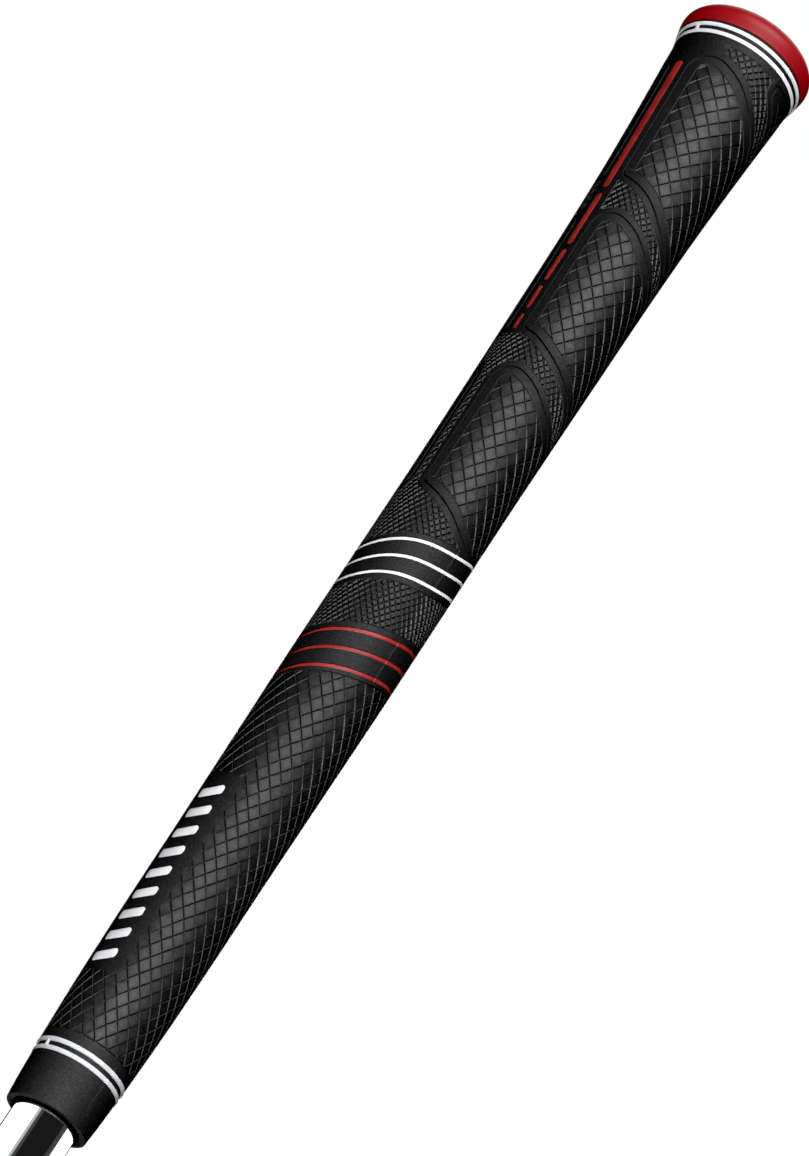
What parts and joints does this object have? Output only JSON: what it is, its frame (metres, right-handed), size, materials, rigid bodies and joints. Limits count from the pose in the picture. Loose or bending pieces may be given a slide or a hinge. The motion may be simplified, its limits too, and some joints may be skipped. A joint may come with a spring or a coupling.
{
  "type": "golf club grip",
  "caption": "Slip-on golf club grip with a flared red butt cap, filled rings and alignment bars, mounted with tape on a cut steel shaft end.",
  "frame": {"origin": "centre of the shaft's cut end, which is the lowest point of the part", "axes": "+Z along the shaft towards the butt cap, -Y through the front of the grip, with the alignment bars turned 54.5 degrees from the front towards -X"},
  "size_m": [0.0288, 0.0288, 0.3],
  "materials": {
    "sleeve_rubber": "moulded black rubber, satin, with a fine hatch and smooth bands",
    "cap_red": "red moulded rubber, satin",
    "fill_white": "white flexible paint fill, slightly glossy",
    "fill_red": "red flexible paint fill, slightly glossy",
    "tape": "creped double-sided mounting tape",
    "shaft_steel": "bright chrome plating on a drawn steel tube"
  },
  "bodies": {
    "root": {"grip_sleeve": "sleeve_rubber", "butt_cap": "cap_red", "top_double_ring": "fill_white", "bottom_double_ring": "fill_white", "mid_white_ring_1": "fill_white", "mid_white_ring_2": "fill_white", "mid_white_ring_3": "fill_white", "mid_red_ring_1": "fill_red", "mid_red_ring_2": "fill_red", "mid_red_ring_3": "fill_red", "alignment_bar_1": "fill_red", "alignment_bar_2": "fill_red", "alignment_bar_3": "fill_red", "alignment_bar_4": "fill_red", "alignment_bar_5": "fill_red", "panel_mark_1": "fill_white", "panel_mark_2": "fill_white", "panel_mark_3": "fill_white", "panel_mark_4": "fill_white", "panel_mark_5": "fill_white", "panel_mark_6": "fill_white", "panel_mark_7": "fill_white", "panel_mark_8": "fill_white", "panel_mark_9": "fill_white", "grip_tape": "tape", "shaft_tube": "shaft_steel"}
  },
  "joints": []
}
